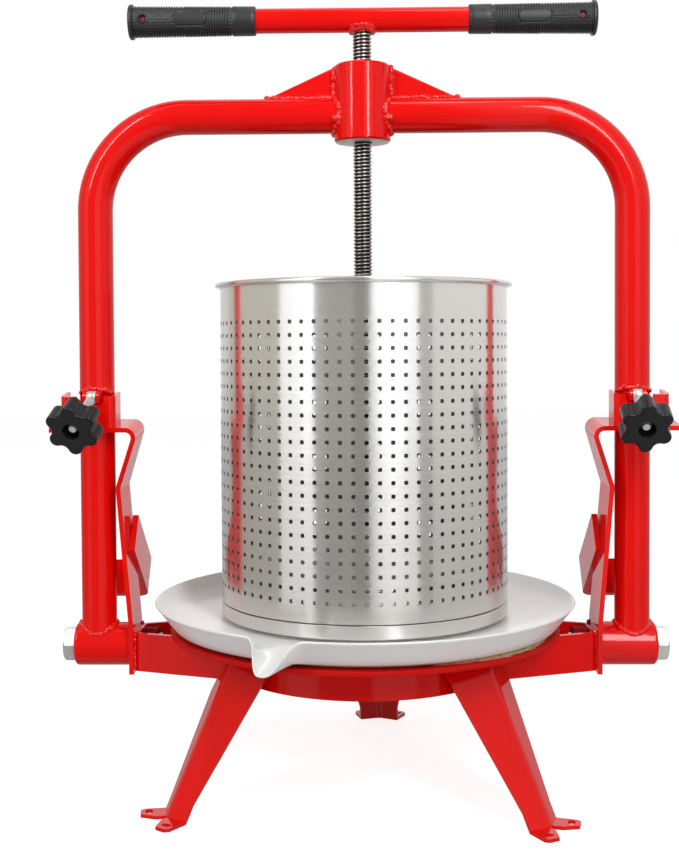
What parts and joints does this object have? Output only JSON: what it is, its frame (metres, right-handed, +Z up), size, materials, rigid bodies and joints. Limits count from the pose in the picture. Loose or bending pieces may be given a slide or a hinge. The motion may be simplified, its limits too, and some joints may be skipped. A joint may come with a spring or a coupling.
{
  "type": "fruit press",
  "caption": "Hand cranked screw press for fruit: perforated basket on a spouted drip tray, tripod stand, tube yoke with a T-handled screw.",
  "frame": {"origin": "on the ground, on the axis of the screw", "axes": "+Z up, +X to the right of someone who faces the press, -Y towards them"},
  "size_m": [0.536, 0.3956, 0.6714],
  "materials": {
    "red_paint": "gloss",
    "tan_board": "raw fibreboard",
    "white_plastic": "semi-gloss",
    "stainless": "brushed",
    "dark_steel": "oiled",
    "zinc": "zinc plated",
    "black_plastic": "matt",
    "grip_rubber": "ribbed"
  },
  "bodies": {
    "stand": {"base_band": "red_paint", "support_disc": "red_paint", "tray_pad": "tan_board", "rear_leg": "red_paint", "front_left_leg": "red_paint", "front_right_leg": "red_paint", "left_bracket": "red_paint", "right_bracket": "red_paint", "left_saddle": "red_paint", "right_saddle": "red_paint", "left_back_stop": "red_paint", "right_back_stop": "red_paint", "left_pivot_bolt": "zinc", "right_pivot_bolt": "zinc", "left_pivot_nut": "zinc", "right_pivot_nut": "zinc", "left_yoke_arm": "red_paint", "right_yoke_arm": "red_paint", "left_pivot_sleeve": "red_paint", "right_pivot_sleeve": "red_paint", "left_gusset": "red_paint", "right_gusset": "red_paint", "screw_hub": "red_paint", "left_lock_lugs": "red_paint", "right_lock_lugs": "red_paint", "left_lock_pin": "zinc", "right_lock_pin": "zinc"},
    "press_plate": {"press_plate": "stainless", "plate_collar": "stainless", "collar_pins": "stainless"},
    "screw": {"press_screw": "dark_steel", "handle_bar": "red_paint", "left_grip": "grip_rubber", "right_grip": "grip_rubber"},
    "left_swing_bolt": {"left_swing_bolt": "zinc"},
    "right_swing_bolt": {"right_swing_bolt": "zinc"},
    "left_knob": {"left_knob": "black_plastic"},
    "right_knob": {"right_knob": "black_plastic"},
    "tray": {"drip_tray": "white_plastic"},
    "basket": {"basket_shell": "stainless", "basket_floor": "stainless"}
  },
  "joints": [
    {"name": "plate_slide", "type": "slide", "parent": "stand", "child": "press_plate", "axis": [0, 0, 1], "range_m": [-0.025, 0.33]},
    {"name": "screw_turn", "type": "hinge", "parent": "press_plate", "child": "screw", "pos_m": [0, 0, 0.2], "axis": [0, 0, 1], "range_deg": [-2990, 39590]},
    {"name": "left_bolt_swing", "type": "hinge", "parent": "stand", "child": "left_swing_bolt", "pos_m": [-0.231, -0.021, 0.335], "axis": [0.9877, -0.1564, 0], "range_deg": [-90, 0]},
    {"name": "left_knob_turn", "type": "hinge", "parent": "left_swing_bolt", "child": "left_knob", "pos_m": [-0.23735, -0.06112, 0.3134], "axis": [-0.1381, -0.8721, -0.4695], "continuous": true},
    {"name": "right_bolt_swing", "type": "hinge", "parent": "stand", "child": "right_swing_bolt", "pos_m": [0.231, -0.021, 0.335], "axis": [0.999, -0.0436, 0], "range_deg": [-90, 0]},
    {"name": "right_knob_turn", "type": "hinge", "parent": "right_swing_bolt", "child": "right_knob", "pos_m": [0.22923, -0.06158, 0.3134], "axis": [-0.0385, -0.8821, -0.4695], "continuous": true},
    {"name": "tray_turn", "type": "hinge", "parent": "stand", "child": "tray", "pos_m": [0, 0, 0.1396], "axis": [0, 0, 1], "range_deg": [-50, 90]},
    {"name": "basket_turn", "type": "hinge", "parent": "tray", "child": "basket", "pos_m": [0, 0, 0.1499], "axis": [0, 0, 1], "continuous": true}
  ],
  "couplings": [
    {"joint": "plate_slide", "follows": "screw_turn", "m_per_rad": 0.00047746}
  ]
}
